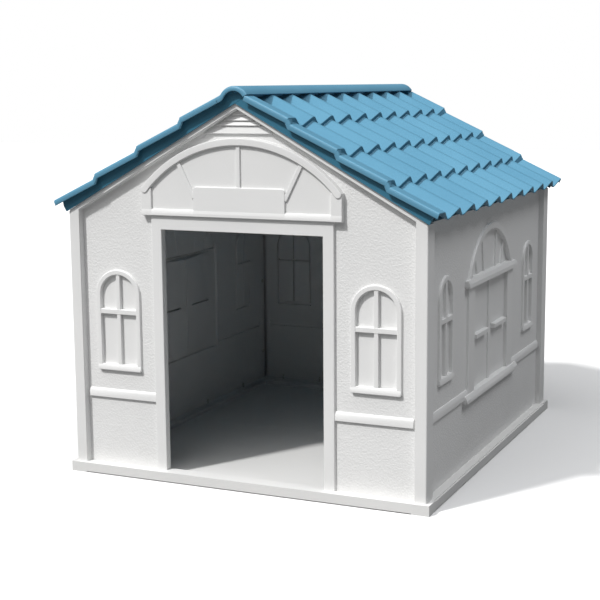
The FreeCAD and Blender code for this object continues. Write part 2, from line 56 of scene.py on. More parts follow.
def box_mm(node):
    """Lowest and highest corner of one of the frame's pieces, in millimetres."""
    low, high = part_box(node)
    return low / MM, high / MM


# ---- places taken from the frame -----------------------------------------------------------------
front_low, front_high = box_mm("front_wall")
rear_high = box_mm("rear_wall")[1]
side_low, side_high = box_mm("right_wall")
roof_low, roof_high = box_mm("left_roof_panel")
HALF_W = front_high.x
FRONT, REAR = front_low.y, rear_high.y
MIDDLE = (FRONT + REAR) / 2
DEPTH = REAR - FRONT
FOOT = front_low.z                      # the walls stand on the base at this height
APEX = front_high.z - 0.5
EAVE = 522.0
SIDE_TOP = side_high.z
SIDE_HALF = (side_high.y - side_low.y) / 2
ROOF_FRONT, ROOF_REAR = roof_low.y, roof_high.y

FIELD = 13.0                            # plain field of a gable wall, behind its corner posts
SIDE_FIELD = 12.0                       # plain field of a side wall
RAKE = 8.0
GABLE_SLOPE = (APEX - EAVE) / HALF_W
POST = 22.0
RETURN = 36.0
EDGE = 2.5                              # rounding of the corner posts' outer edges
DOOR_HALF, DOOR_TOP = 166.0, 491.0

# how far mouldings stand proud of a wall's plain field, or lie behind it
FRAME_PROUD, PANE_SUNK = 4.6, 3.2
MULLION_PROUD, GLAZING_PROUD, SILL_PROUD = 3.2, 3.8, 6.2
RAIL_FOOT, RAIL_TOP, RAIL_PROUD = 153.0, 171.0, 4.5
SHELF_HALF, SIDE_SILL_HALF = 172.0, 183.0   # half lengths of the shelf and sill on a side wall


# ---- flat outlines -------------------------------------------------------------------------------
def arc(centre, radius, start, end, steps):
    """Points along a circle's arc, from one angle in degrees to another."""
    turns = np.radians(np.linspace(start, end, steps + 1))
    return [(centre[0] + radius * math.cos(a), centre[1] + radius * math.sin(a)) for a in turns]


def slab(left, right, bottom, top, corner=0.0, upper=0.0):
    """A rectangle, with its lower and its upper corners rounded by these radii."""
    points = []
    corners = (((left, bottom), 180, corner), ((right, bottom), 270, corner),
               ((right, top), 0, upper), ((left, top), 90, upper))
    for (x, z), start, radius in corners:
        if radius:
            inward = (x + radius if x == left else x - radius, z + radius if z == bottom else z - radius)
            points += arc(inward, radius, start, start + 90, 5)
        else:
            points.append((x, z))
    return points


def arched(left, right, bottom, top, corner=0.0):
    """An upright panel with a half-round head."""
    half = (right - left) / 2
    head = arc((left + half, top - half), half, 0, 180, 28)
    foot = slab(left, right, bottom, top, corner)
    return foot[:-2] + head


def lunette(half, base, crown):
    """A low arch on a straight base."""
    rise = crown - base
    radius = (half * half + rise * rise) / (2 * rise)
    reach = math.degrees(math.asin((base - crown + radius) / radius))
    return arc((0, crown - radius), radius, reach, 180 - reach, 40)


def bar(start, end, width):
    """A straight bar between two points."""
    along = np.subtract(end, start) / np.hypot(*np.subtract(end, start))
    off = np.array((along[1], -along[0])) * width / 2
    return [tuple(np.add(start, off)), tuple(np.add(end, off)), tuple(np.subtract(end, off)),
            tuple(np.subtract(start, off))]


def arch_band(centre, inner, outer, tip_z):
    """A band between two arcs, its two ends rounded."""
    middle, half = (inner + outer) / 2, (outer - inner) / 2
    reach = math.degrees(math.asin((tip_z - centre) / middle))
    left = (-middle * math.cos(math.radians(reach)), tip_z)
    right = (-left[0], tip_z)
    points = arc((0, centre), outer, reach, 180 - reach, 44)
    points += arc(left, half, 180 - reach, 360 - reach, 8)[1:-1]
    points += arc((0, centre), inner, 180 - reach, reach, 44)
    points += arc(right, half, reach - 180, reach, 8)[1:-1]
    return points


def turned_about(points):
    """The same outline on the other side of the middle, still running anticlockwise."""
    return [(-x, z) for x, z in reversed(points)]


# ---- relief: one moulded skin made of raised and sunk outlines -----------------------------------
# how far a moulding's edge has risen, against how far in from its outline: a drafted side, then a rounding
EDGE_IN = (0.0, 0.30, 0.50, 0.74, 1.0)
EDGE_UP = (0.0, 0.66, 0.86, 0.965, 1.0)


def inset(outline, amount):
    """The outline moved inwards by this much, its corners mitred. None if nothing is left of it."""
    before = outline - np.roll(outline, 1, axis=0)
    after = np.roll(outline, -1, axis=0) - outline
    first = np.stack((-before[:, 1], before[:, 0]), 1) / np.hypot(*before.T)[:, None]
    second = np.stack((-after[:, 1], after[:, 0]), 1) / np.hypot(*after.T)[:, None]
    mitre = (first + second) / (1 + (first * second).sum(1))[:, None]
    moved = outline + amount * mitre
    kept = moved - np.roll(moved, 1, axis=0)
    if ((kept * before).sum(1) < -1e-6).any():
        return None
    return moved


def inside(points, outline):
    """How far each point lies inside the outline; negative outside."""
    start, end = outline, np.roll(outline, -1, axis=0)
    run = end - start
    gap = points[:, None] - start[None]
    along = np.clip((gap * run).sum(2) / (run ** 2).sum(1), 0, 1)
    near = np.sqrt(((gap - along[..., None] * run) ** 2).sum(2)).min(1)
    up, x = points[:, 1:2], points[:, 0:1]
    straddles = (start[:, 1] > up) != (end[:, 1] > up)
    rise = np.where(run[:, 1] == 0, 1.0, run[:, 1])
    crosses = straddles & (x < start[:, 0] + (up - start[:, 1]) * run[:, 0] / rise)
    return np.where(crosses.sum(1) % 2 == 1, near, -near)


class Relief:
    """A moulded skin: an outline with holes, and mouldings laid on it one after another."""

    def __init__(self, outline, depth, plain=True):
        self.outline = np.array(outline, float)
        self.depth = depth
        self.plain = plain
        self.layers = []

    def add(self, outline, depth, ease=1.8, sunk=False, plain=False, faces="both", bevel=None):
        """A moulding whose face lies at this depth. bevel (from, to, fall) slopes its face back between two heights.
        plain mouldings keep the field's grained finish; faces is both, outer or inner."""
        self.layers.append((np.array(outline, float), depth, ease, sunk, plain, faces, bevel))

    def mirrored(self, outline, depth, **finish):
        self.add(outline, depth, **finish)
        self.add(turned_about(outline), depth, **finish)

    def skin(self, inner):
        """(points with depth, triangles, trim marks) of the outer or the inner face."""
        rings, heights = [self.outline], []
        for outline, depth, ease, sunk, plain, faces, bevel in self.layers:
            if faces == ("outer" if inner else "inner"):
                continue
            shift = 0.0 if not inner or faces == "inner" else (-SKIN if sunk else SKIN)
            steps = EDGE_IN if not sunk else tuple(1 - s for s in reversed(EDGE_IN))
            made = [ring for ring in (inset(outline, shift + ease * s) for s in steps) if ring is not None]
            if not made:
                continue
            rings += made
            heights.append((outline, depth, ease, sunk, plain, bevel, shift))
        points = np.vstack(rings)
        edges, first = [], 0
        for ring in rings:
            last = first + len(ring)
            edges += [(i, i + 1 if i + 1 < last else first) for i in range(first, last)]
            first = last
        for outline, depth, ease, sunk, plain, bevel, shift in heights:
            if bevel and not inner:
                left, right = outline[:, 0].min() + 0.1, outline[:, 0].max() - 0.1
                points = np.vstack((points, [(left, bevel[0]), (right, bevel[0])]))
                edges.append((len(points) - 2, len(points) - 1))
        flat, _, faces, _, _, _ = delaunay_2d_cdt([Vector(p) for p in points], edges, [], 0, 1e-3)
        flat = np.array([tuple(v) for v in flat])
        triangles = np.array([f for f in faces if len(f) == 3])
        centres = flat[triangles].mean(1)
        keep = inside(centres, self.outline) > 0
        triangles, centres = triangles[keep], centres[keep]
        depth_at = np.full(len(flat), self.depth + (SKIN if inner else 0.0))
        trim = np.full(len(triangles), not self.plain)
        for outline, depth, ease, sunk, plain, bevel, shift in heights:
            level = np.full(len(flat), depth + (SKIN if inner and shift else 0.0))
            if bevel:
                level += np.clip((flat[:, 1] - bevel[0]) / (bevel[1] - bevel[0]), 0, 1) * bevel[2]
            share = np.clip((inside(flat, outline) - shift) / ease, 0, 1)
            if sunk:
                risen = 1 - np.interp(1 - share, EDGE_IN, EDGE_UP)
                depth_at = np.maximum(depth_at, depth_at + (level - depth_at) * risen)
            else:
                risen = np.interp(share, EDGE_IN, EDGE_UP)
                depth_at = np.minimum(depth_at, depth_at + (level - depth_at) * risen)
            trim[inside(centres, outline) - shift > 0] = not plain
        return np.column_stack((flat, depth_at)), triangles, trim

    def shell(self, place):
        """Closed mesh data of the skin, put where place(across, up, depth) says."""
        mesh = bmesh.new()
        borders = []
        for inner in (False, True):
            points, triangles, trim = self.skin(inner)
            used = sorted(set(triangles.ravel().tolist()))
            verts = {i: mesh.verts.new(place(*points[i])) for i in used}
            for (a, b, c), smooth in zip(triangles.tolist(), trim.tolist()):
                face = mesh.faces.new((verts[a], verts[b], verts[c]))
                face.material_index = 1 if smooth else 0
            borders.append(border_loop(triangles, points, verts, self.outline))
        for corners in strip_between(*borders):
            mesh.faces.new(corners).material_index = 1
        bmesh.ops.recalc_face_normals(mesh, faces=mesh.faces)
        return mesh


def border_loop(triangles, points, verts, ring):
    """The mesh's vertices that lie on a ring, in order round it."""
    used = np.unique(triangles)
    flat = points[used][:, :2]
    found, travelled = [], 0.0
    for start, end in zip(ring, np.roll(ring, -1, axis=0)):
        run = end - start
        length = math.hypot(*run)
        along = (flat - start) @ run / length
        off = np.abs((flat - start) @ np.array((-run[1], run[0])) / length)
        near = (off < 5e-3) & (along > -5e-3) & (along < length - 5e-3)
        found += [(travelled + a, verts[int(i)]) for a, i in zip(along[near], used[near])]
        travelled += length
    return [vert for _, vert in sorted(found, key=lambda item: item[0])]


def strip_between(first, second):
    """Triangles that close the gap between two loops of vertices round the same ring, by the shorter diagonal."""
    first, second = first + first[:1], second + second[:1]
    i = j = 0
    while i + 1 < len(first) or j + 1 < len(second):
        ahead_first = (first[i + 1].co - second[j].co).length if i + 1 < len(first) else float("inf")
        ahead_second = (first[i].co - second[j + 1].co).length if j + 1 < len(second) else float("inf")
        if ahead_first <= ahead_second:
            yield first[i], first[i + 1], second[j]
            i += 1
        else:
            yield first[i], second[j + 1], second[j]
            j += 1


# ---- swept skins ---------------------------------------------------------------------------------
def add_grid(mesh, grid, closed_across=False, closed_along=False, material=0):
    """Quads over a grid of points. Returns the grid of vertices."""
    verts = [[mesh.verts.new(p) for p in row] for row in grid]
    rows = len(verts) if closed_along else len(verts) - 1
    columns = len(verts[0]) if closed_across else len(verts[0]) - 1
    for i in range(rows):
        below, above = verts[i], verts[(i + 1) % len(verts)]
        for j in range(columns):
            k = (j + 1) % len(below)
            mesh.faces.new((below[j], below[k], above[k], above[j])).material_index = material
    return verts


def add_prism(mesh, section, place, start, end, material=0):
    """A closed section run from start to end; place(a, b, run) gives its points."""
    ends = add_grid(mesh, [[place(a, b, start) for a, b in section], [place(a, b, end) for a, b in section]],
                    closed_across=True, material=material)
    for loop in ends:
        mesh.faces.new(loop).material_index = material


def finished(name, mesh, body, materials, replaces=(), sharp=50.0):
    """Turns mesh data into a piece of the kennel: welded, smoothed, riding on its body."""
    bmesh.ops.remove_doubles(mesh, verts=mesh.verts, dist=2e-6)
    bmesh.ops.dissolve_degenerate(mesh, edges=mesh.edges, dist=2e-6)
    bmesh.ops.recalc_face_normals(mesh, faces=mesh.faces)
    data = bpy.data.meshes.new(name)
    mesh.to_mesh(data)
    mesh.free()
    for material in materials:
        data.materials.append(material)
    data.shade_smooth()
    data.set_sharp_from_angle(angle=math.radians(sharp))
    piece = bpy.data.objects.new(name, data)
    bpy.context.scene.collection.objects.link(piece)
    even = piece.modifiers.new("even_shading", "WEIGHTED_NORMAL")
    even.keep_sharp = True
    even.weight = 100
    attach(piece, body)
    if replaces:
        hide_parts(*replaces)
    return piece


def add_skin(mesh, outer, inner, material=0):
    """A closed skin between two grids of points of the same shape."""
    top, bottom = add_grid(mesh, outer, material=material), add_grid(mesh, inner, material=material)
    borders = [(top[0], bottom[0]), (top[-1], bottom[-1]),
               ([row[0] for row in top], [row[0] for row in bottom]),
               ([row[-1] for row in top], [row[-1] for row in bottom])]
    for above, below in borders:
        for a, b, c, d in zip(above, above[1:], below[1:], below):
            mesh.faces.new((a, b, c, d)).material_index = material


# ---- the walls -----------------------------------------------------------------------------------
def add_window(wall, centre, bottom, top, width, field):
    """A blind arched window: a proud frame round a sunk pane, crossed by a mullion and a glazing bar."""
    band, sill = 9.0, 11.0
    left, right = centre - width / 2, centre + width / 2
    glazing = bottom + (top - bottom) * 0.585
    wall.add(arched(left, right, bottom, top, corner=5), field - FRAME_PROUD, ease=2.2)
    wall.add(arched(left + band, right - band, bottom + sill, top - band), field + PANE_SUNK, sunk=True)
    wall.add(slab(centre - 5, centre + 5, bottom + sill - 2, top - band / 2), field - MULLION_PROUD, ease=1.5)
    wall.add(slab(left + 5, right - 5, glazing - 5.5, glazing + 5.5), field - GLAZING_PROUD, ease=1.5)
    wall.add(slab(left + 0.5, right - 0.5, bottom, bottom + sill, corner=4), field - SILL_PROUD, ease=1.5,
             bevel=(bottom + 6, bottom + sill, 1.5))


def add_rail(wall, left, right, field):
    """A chair rail: flat underneath, its top weathered back."""
    wall.add(slab(left, right, RAIL_FOOT, RAIL_TOP), field - RAIL_PROUD, ease=1.2,
             bevel=(RAIL_TOP - 6, RAIL_TOP, 3.2))


def gable_outline(door):
    """A gable wall's edge between its two corner posts' roundings, notched by the doorway."""
    half = HALF_W - EDGE
    eave = EAVE + GABLE_SLOPE * EDGE
    foot = [(-half, FOOT)]
    if door:
        foot += [(-DOOR_HALF, FOOT), (-DOOR_HALF, DOOR_TOP), (DOOR_HALF, DOOR_TOP), (DOOR_HALF, FOOT)]
    return foot + [(half, FOOT), (half, eave), (0, APEX), (-half, eave)]


def gable_relief(door):
    """Front or rear wall: corner posts and rake trim round a sunk field with its ornament."""
    wall = Relief(gable_outline(door), 0, plain=False)
    drop = RAKE / math.cos(math.atan(GABLE_SLOPE))
    half = HALF_W - POST
    shoulder = APEX - drop - GABLE_SLOPE * half
    below = FOOT - 30
    wall.add([(-half, below), (half, below), (half, shoulder), (0, APEX - drop), (-half, shoulder)], FIELD,
             ease=2.4, sunk=True, plain=True)
    for side in (-1, 1):
        add_window(wall, side * 268, 209, 409, 99, FIELD)
        add_rail(wall, *sorted((side * 187, side * 340)), FIELD)
    add_slats(wall)
    if door:
        wall.add(slab(-188.5, 188.5, below, 519), FIELD - 6, ease=2.0)
    else:
        add_window(wall, 0, 209, 500, 190, FIELD)
    add_pediment(wall)
    if door:
        rounding = 1.6
        wall.add(slab(-DOOR_HALF - rounding, DOOR_HALF + rounding, below, DOOR_TOP + rounding),
                 FIELD - 6 + rounding, ease=rounding, sunk=True, faces="outer")
        wall.add(slab(-DOOR_HALF - SKIN, DOOR_HALF + SKIN, below, DOOR_TOP + SKIN), 21, ease=0.8,
                 sunk=True, faces="inner")
    return wall


def add_slats(wall):
    """The gable's blind louvre: four slats, each sloping back to the field at its top."""
    heights = (672.5, 687.0, 696.0, 705.5, 714.0)
    for low, high in zip(heights, heights[1:]):
        foot = (APEX - 13 - low) / 0.62
        head = max(foot - (high - low) * 0.75, 1.5)
        wall.add([(-foot, low), (foot, low), (head, high), (-head, high)], FIELD - 4.5, ease=1.0,
                 bevel=(low + 1, high, 3.6))


def add_pediment(wall):
    """The arched block over the doorway: tympanum, fan bars, blank plate, arch band and lintel."""
    centre, inner, outer = 396.4, 254.5, 269.5
    side, foot, shoulder, jamb = 206.5, 518.0, 562.0, 183.5
    crown = math.degrees(math.asin((shoulder - centre) / math.hypot(side, shoulder - centre)))
    radius = math.hypot(side, shoulder - centre)
    block = [(-side, foot), (side, foot)] + arc((0, centre), radius, crown, 180 - crown, 44)
    wall.add(block, 6.5, ease=2.0)
    wall.mirrored(slab(jamb, side, foot, 570), 2.6, ease=1.6)
    wall.add(slab(-4.5, 4.5, 570, 656), 3.5, ease=1.4)
    wall.mirrored(bar((93, 553), (129, 624), 9), 3.5, ease=1.4)
    wall.add(slab(-94.5, 94.5, foot + 4, 575, upper=7), 2.6, ease=1.6)
    wall.add(arch_band(centre, inner, outer, 567.5), 0.6, ease=2.0)
    wall.add(slab(-side, side, foot, 531), 1.6, ease=1.2, bevel=(525, 531, 2.2))


def side_relief():
    """A side wall: one large arched window between two small ones, shelf, sill and rails."""
    wall = Relief(slab(-SIDE_HALF, SIDE_HALF, FOOT, SIDE_TOP), SIDE_FIELD)
    face, pane = SIDE_FIELD - 5, SIDE_FIELD + 4
    for side in (-1, 1):
        add_window(wall, side * 291, 214, 414, 86, SIDE_FIELD)
        add_rail(wall, *sorted((side * 157, side * (DEPTH / 2 - RETURN - 0.5))), SIDE_FIELD)
    wall.add(slab(-158, 158, 146, 384), face, ease=2.0)
    wall.add(lunette(156, 379, 484), face, ease=2.2)
    wall.add(slab(-118, 118, 158, 376), pane, sunk=True)
    wall.add(lunette(140, 387, 471), pane, sunk=True)
    wall.add(slab(-5, 5, 156, 376), SIDE_FIELD + 0.5, ease=1.5)
    wall.mirrored(slab(22, 108, 262, 272), face - 1.0, ease=1.2)
    for foot, head, height in ((38, 51, 466), (82, 101, 440)):
        wall.mirrored(bar((foot, 384), (head, height), 8), SIDE_FIELD + 0.5, ease=1.5)
    wall.add(slab(-SHELF_HALF, SHELF_HALF, 371, 387, corner=6, upper=2), 1.2, ease=1.0, bevel=(380, 387, 4.5))
    wall.add(slab(-SIDE_SILL_HALF, SIDE_SILL_HALF, 146, 162, corner=6, upper=2), 0.6, ease=1.0,
             bevel=(154, 162, 4.5))
    return wall


def add_corner(mesh, place):
    """The strip in which a gable wall wraps round onto the side wall."""
    far, step = HALF_W - EDGE, HALF_W - SIDE_FIELD
    section = arc((far, EDGE), EDGE, -90, 0, 6) + arc((HALF_W - 1.5, RETURN - 1.5), 1.5, 0, 90, 4)
    section += [(step, RETURN), (step, RETURN - SKIN), (HALF_W - SKIN, RETURN - SKIN),
                (HALF_W - SKIN, SKIN + 0.5), (far, SKIN + 0.4), (far - 0.5, SKIN - 0.4)]
    add_prism(mesh, section, place, FOOT, EAVE - 1.5, material=1)


def gable_wall(name, y, facing, door, materials):
    """facing is 1 for the front wall and -1 for the rear one."""
    def place(across, up, depth):
        return Vector((facing * across, y + facing * depth, up)) * MM

    mesh = gable_relief(door).shell(place)
    for side in (-1, 1):
        add_corner(mesh, lambda a, b, run: place(side * a, run, b))
    return finished(name + "_moulding", mesh, "kennel", materials, [name])


def side_wall(name, side, materials):
    """side is 1 for the right wall and -1 for the left one."""
    def place(across, up, depth):
        return Vector((side * (HALF_W - depth), MIDDLE + across, up)) * MM

    mesh = side_relief().shell(place)
    flange = [(SIDE_FIELD + SKIN - 0.5, SIDE_TOP - SKIN), (SIDE_FIELD + 24, SIDE_TOP - SKIN),
              (SIDE_FIELD + 24, SIDE_TOP), (SIDE_FIELD + SKIN - 0.5, SIDE_TOP)]
    add_prism(mesh, flange, lambda a, b, run: place(run, b, a), -SIDE_HALF, SIDE_HALF, material=1)
    return finished(name + "_moulding", mesh, "kennel", materials, [name])


# ---- the roof ------------------------------------------------------------------------------------
PITCH = math.radians(25.2)
COURSES, COURSE_RUN, COURSE_STEP = 4, 94.0, 9.2
FIRST_X, FIRST_Z = 17.0, 746.0
COURSE_LENGTH = COURSE_RUN / math.cos(PITCH)
STEP_DOWN = COURSE_STEP * math.cos(PITCH)
STEP_ON = COURSE_STEP * math.sin(PITCH)
WAVE_DEPTH, WAVE_PITCH, FIRST_CREST = 17.0, 85.8, 30.0
FLANK = math.radians(27)
BORDER_RISE = 0.5                       # the plain front border stands this far above the crests
LIP = 10.5
ROOF_LENGTH = ROOF_REAR - ROOF_FRONT
WAVES = round((ROOF_LENGTH - FIRST_CREST) / WAVE_PITCH)
CREST_R = (WAVE_PITCH / 2 - WAVE_DEPTH / math.tan(FLANK)) / (2 * math.tan(FLANK / 2))
CREST_REACH = CREST_R * math.sin(FLANK)


def wave(along):
    """Height of the tiles at a distance behind the roof's front edge, below their crests."""
    if along < FIRST_CREST:
        return float(np.interp(along, (0, FIRST_CREST - 12, FIRST_CREST), (BORDER_RISE, BORDER_RISE / 2, 0)))
    off = abs((along - FIRST_CREST + WAVE_PITCH / 2) % WAVE_PITCH - WAVE_PITCH / 2)
    if off < CREST_REACH:
        return math.sqrt(CREST_R ** 2 - off ** 2) - CREST_R
    fall = CREST_R * (1 - math.cos(FLANK))
    if off < WAVE_PITCH / 2 - CREST_REACH:
        return -fall - (off - CREST_REACH) * math.tan(FLANK)
    off = WAVE_PITCH / 2 - off
    return -WAVE_DEPTH + CREST_R - math.sqrt(CREST_R ** 2 - off ** 2)


def lip_stations(height, lip):
    """(outer along, outer height, inner along, inner height) where a skin turns down at the roof's front edge."""
    turn = 3.6
    found = [(1.0, -lip, SKIN - 1, -lip), (0, -lip + 1, SKIN, -lip + 1),
             (0, height - turn - 1.5, SKIN, height - turn - 1.5)]
    for angle in (30, 60, 90):
        a = math.radians(angle)
        found.append((turn - turn * math.cos(a), height - turn + turn * math.sin(a),
                      turn - (turn - SKIN) * math.cos(a), height - turn + (turn - SKIN) * math.sin(a)))
    return found


def tile_stations():
    """Stations along the roof across its waves, from the front lip to the rear one."""
    found = lip_stations(BORDER_RISE, LIP)
    spots = [9.0, FIRST_CREST - 12, FIRST_CREST - 6]
    crest = [CREST_REACH * share for share in (0, 0.25, 0.5, 0.75, 1)]
    for n in range(WAVES):
        start = FIRST_CREST + n * WAVE_PITCH
        valley = start + WAVE_PITCH / 2
        spots += [start + c for c in crest]
        spots += [valley + way * c for way, c in [(-1, c) for c in reversed(crest)] + [(1, c) for c in crest[1:]]]
        spots += [start + WAVE_PITCH - c for c in reversed(crest)][:-1]
    spots = [spot for spot in spots if spot < ROOF_LENGTH - 4]
    found += [(spot, wave(spot), spot, wave(spot) - SKIN) for spot in spots]
    found += [(ROOF_LENGTH - a, h, ROOF_LENGTH - b, g) for a, h, b, g in reversed(lip_stations(0, LIP))]
    return found


def course_lines():
    """The tiles' top and under faces down the slope, as (down slope, out of slope, lean) rows of the same count.
    The first row's place down the slope is left to head_line."""
    top, under = [], []
    nose, foot = 1.9, 1.2
    for k in range(COURSES):
        start, level = k * (COURSE_LENGTH + STEP_ON), -k * STEP_DOWN
        end, last = start + COURSE_LENGTH, k == COURSES - 1
        head = start - STEP_ON + 20
        for s in (head, start + 50, end - 14):
            top.append((s, level, 0))
            under.append((s, level - SKIN, 0))
        for angle in (90, 60, 30, 6 if last else 0):
            a = math.radians(angle)
            out, up = nose * math.cos(a), nose * math.sin(a)
            top.append((end - nose + out, level - nose + up, 0))
            if last:
                under.append((end - nose + out, level - SKIN + nose * 0.58 * (1 - math.sin(a)), 0))
            else:
                under.append((end - SKIN - foot + foot * math.cos(a), level - SKIN - foot + foot * math.sin(a), 0))
        if not last:
            drop = level - STEP_DOWN
            for angle in (180, 210, 240, 270):
                a = math.radians(angle)
                top.append((end + foot + foot * math.cos(a), drop + foot + foot * math.sin(a), 1))
                under.append((end + foot - SKIN + foot * math.cos(a), drop - SKIN + foot + foot * math.sin(a), 1))
    return top, under


def lean(along):
    """How far a riser leans at this place along the roof: it is a ramp in the plain borders."""
    edge = min(along, ROOF_LENGTH - along)
    return float(np.interp(edge, (12, 22), (7.0, 0.8)))


def slope_point(side, down, out, along):
    """A point of a roof slope, in metres. side is 1 for the right-hand slope."""
    x = FIRST_X + down * math.cos(PITCH) + out * math.sin(PITCH)
    z = FIRST_Z - down * math.sin(PITCH) + out * math.cos(PITCH)
    return Vector((side * x, ROOF_FRONT + along, z)) * MM


def head_line(side, along):
    """Where the tiles start, down the slope: by the roof's ends they stop short, clear of the ridge roll."""
    edge = min(along, ROOF_LENGTH - along)
    short = ROLL_FOOT - 1 if side < 0 else 9.0
    return float(np.interp(edge, (10, 17), (short, -9.0)))


def add_tiles(mesh, side):
    top, under = course_lines()
    outer, inner = [], []
    for y, height, y_in, height_in in tile_stations():
        top[0] = (head_line(side, y), 0, 0)
        under[0] = (head_line(side, y), -SKIN, 0)
        outer.append([slope_point(side, s + f * lean(y), n + height, y) for s, n, f in top])
        inner.append([slope_point(side, s + f * lean(y), n + height_in + SKIN, y_in) for s, n, f in under])
    add_skin(mesh, outer, inner)


ROLL_X, ROLL_Z, ROLL_R = 2.0, 728.0, 31.0
ROLL_START, ROLL_LIP = 31.0, 9.0
ROLL_BLEND, ROLL_REST = 12.0, 0.4       # the hollow where it runs into the left slope, and its height over the crests
ROLL_DOWN = (-ROLL_X - FIRST_X) * math.cos(PITCH) - (ROLL_Z - FIRST_Z) * math.sin(PITCH)
ROLL_OUT = (-ROLL_X - FIRST_X) * math.sin(PITCH) + (ROLL_Z - FIRST_Z) * math.cos(PITCH)
ROLL_REACH = math.sqrt((ROLL_R + ROLL_BLEND) ** 2 - (ROLL_REST + ROLL_BLEND - ROLL_OUT) ** 2)
ROLL_FOOT = ROLL_DOWN + ROLL_REACH + 7  # where it ends, down the left slope


def flat_slope(down, out, place=True):
    """(x, z) of a place or a direction on the left-hand slope."""
    x = down * math.cos(PITCH) + out * math.sin(PITCH)
    z = -down * math.sin(PITCH) + out * math.cos(PITCH)
    return (-(x + FIRST_X), z + FIRST_Z) if place else (-x, z)


def ridge_line():
    """The ridge roll's outer line, from its free edge over the top and down into the left slope.
    Each entry is (x, z), its normal, and its share of the slope rather than the roll."""
    meet = math.atan2(ROLL_REST + ROLL_BLEND - ROLL_OUT, ROLL_REACH)
    points = []
    for angle in np.linspace(ROLL_START, 180 - math.degrees(meet - PITCH), 26):
        a = math.radians(angle)
        points.append(((ROLL_X + ROLL_R * math.cos(a), ROLL_Z + ROLL_R * math.sin(a)), (math.cos(a), math.sin(a)), 0))
    for share in np.linspace(0, 1, 9)[1:]:
        turn = meet + (math.pi / 2 - meet) * share
        s = ROLL_DOWN + ROLL_REACH - ROLL_BLEND * math.cos(turn)
        n = ROLL_REST + ROLL_BLEND - ROLL_BLEND * math.sin(turn)
        normal = flat_slope(math.cos(turn), math.sin(turn), place=False)
        points.append((flat_slope(s, n), normal, share * share * (3 - 2 * share)))
    points.append((flat_slope(ROLL_FOOT, ROLL_REST), flat_slope(0, 1, place=False), 1))
    return points


def add_ridge_roll(mesh):
    """The roll that covers the ridge. Towards the slope its front edge meets the tiles' plain border."""
    met = BORDER_RISE + 0.15 - ROLL_REST
    on_roll = lip_stations(0, ROLL_LIP) + [(y, 0, y, -SKIN) for y in (9, FIRST_CREST - 12, FIRST_CREST)]
    on_slope = lip_stations(met, LIP + ROLL_REST)
    on_slope += [(y, h, y, h - SKIN) for y, h in ((9, met), (FIRST_CREST - 12, met / 2), (FIRST_CREST, 0))]
    for stations, lip in ((on_roll, ROLL_LIP), (on_slope, LIP + ROLL_REST)):
        stations += [(y, 0, y, -SKIN) for y in (ROOF_LENGTH / 2, ROOF_LENGTH - 40)]
        stations += [(ROOF_LENGTH - a, h, ROOF_LENGTH - b, g) for a, h, b, g in reversed(lip_stations(0, lip))]
    line = ridge_line()

    def row(face, roll, slope):
        along, height = 2 * face, 2 * face + 1
        found = []
        for (x, z), (nx, nz), share in line:
            h = roll[height] + (slope[height] - roll[height]) * share
            y = ROOF_FRONT + roll[along] + (slope[along] - roll[along]) * share
            found.append(Vector((x + nx * h, y, z + nz * h)) * MM)
        return found

    add_skin(mesh, *[[row(face, *pair) for pair in zip(on_roll, on_slope)] for face in (0, 1)])


def add_web(mesh, side, start, end, upper, lap):
    """The straight-bottomed plate inside an end of the roof, just outside the gable wall. Its top edge lies
    within the tiles' skin, this far out from their crests, and at the ridge it laps onto the other slope."""
    tip = 371.0
    tip_z = APEX - GABLE_SLOPE * tip
    slope = math.atan(GABLE_SLOPE)
    outline = [(tip, tip_z), (tip + 12 * math.sin(slope), tip_z + 12 * math.cos(slope))]
    for k in reversed(range(COURSES)):
        first, level = k * (COURSE_LENGTH + STEP_ON), upper - k * STEP_DOWN
        for s in (first + (COURSE_LENGTH - 1 if k < COURSES - 1 else 90), first + 2):
            x = FIRST_X + s * math.cos(PITCH) + level * math.sin(PITCH)
            outline.append((x, FIRST_Z - s * math.sin(PITCH) + level * math.cos(PITCH)))
    if side < 0:
        outline += [(-x, z) for x, z in arc((ROLL_X, ROLL_Z), ROLL_R - 1.5, 150, ROLL_START + 4, 10)]
        if start > MIDDLE:              # the rear web also closes the space under the roll's free edge
            outline.append((outline[-1][0], FIRST_Z - 11))
        outline += [(-lap, APEX + GABLE_SLOPE * lap), (0, APEX)]
    else:
        outline += [(lap - 1, APEX + GABLE_SLOPE * (lap - 1) - 0.4), (0, APEX - 0.4)]
    # material 1 is the darker blue of painted shade: it stands for the lip's shadow on the web
    add_prism(mesh, outline, lambda a, b, run: Vector((side * a, run, b)) * MM, start, end, material=1)


FLANGE_FOOT = 704.0                     # the ridge flange reaches down to this height
BOSS_X, BOSS_WAVES = 344.0, (1.5, 8.5)  # the thumbscrews' bosses, and the waves that they hang under


def add_roof_fittings(mesh, side):
    """What the panel carries underneath: the ridge flange and the bosses over the thumbscrews."""
    def upright(a, b, run):
        return Vector((side * a, run, b)) * MM

    strip = FIRST_Z - 7.0
    flange = [(0, FLANGE_FOOT), (SKIN, FLANGE_FOOT), (SKIN, strip), (14, strip), (14, strip + 4), (0, strip + 4)]
    add_prism(mesh, flange, upright, FRONT + 24, REAR - 24)
    for n in BOSS_WAVES:
        y = ROOF_FRONT + FIRST_CREST + n * WAVE_PITCH
        rings = [[Vector((side * (BOSS_X + r * math.cos(a)), y + r * math.sin(a), z)) * MM
                  for a in np.linspace(0, math.tau, 24, endpoint=False)]
                 for r, z in ((4, 531), (4, 520), (7.2, SIDE_TOP + 0.5), (8, SIDE_TOP + 1.5), (8, SIDE_TOP + 24))]
        tube = add_grid(mesh, rings, closed_across=True)
        mesh.faces.new(tube[0])
        mesh.faces.new(tube[-1])


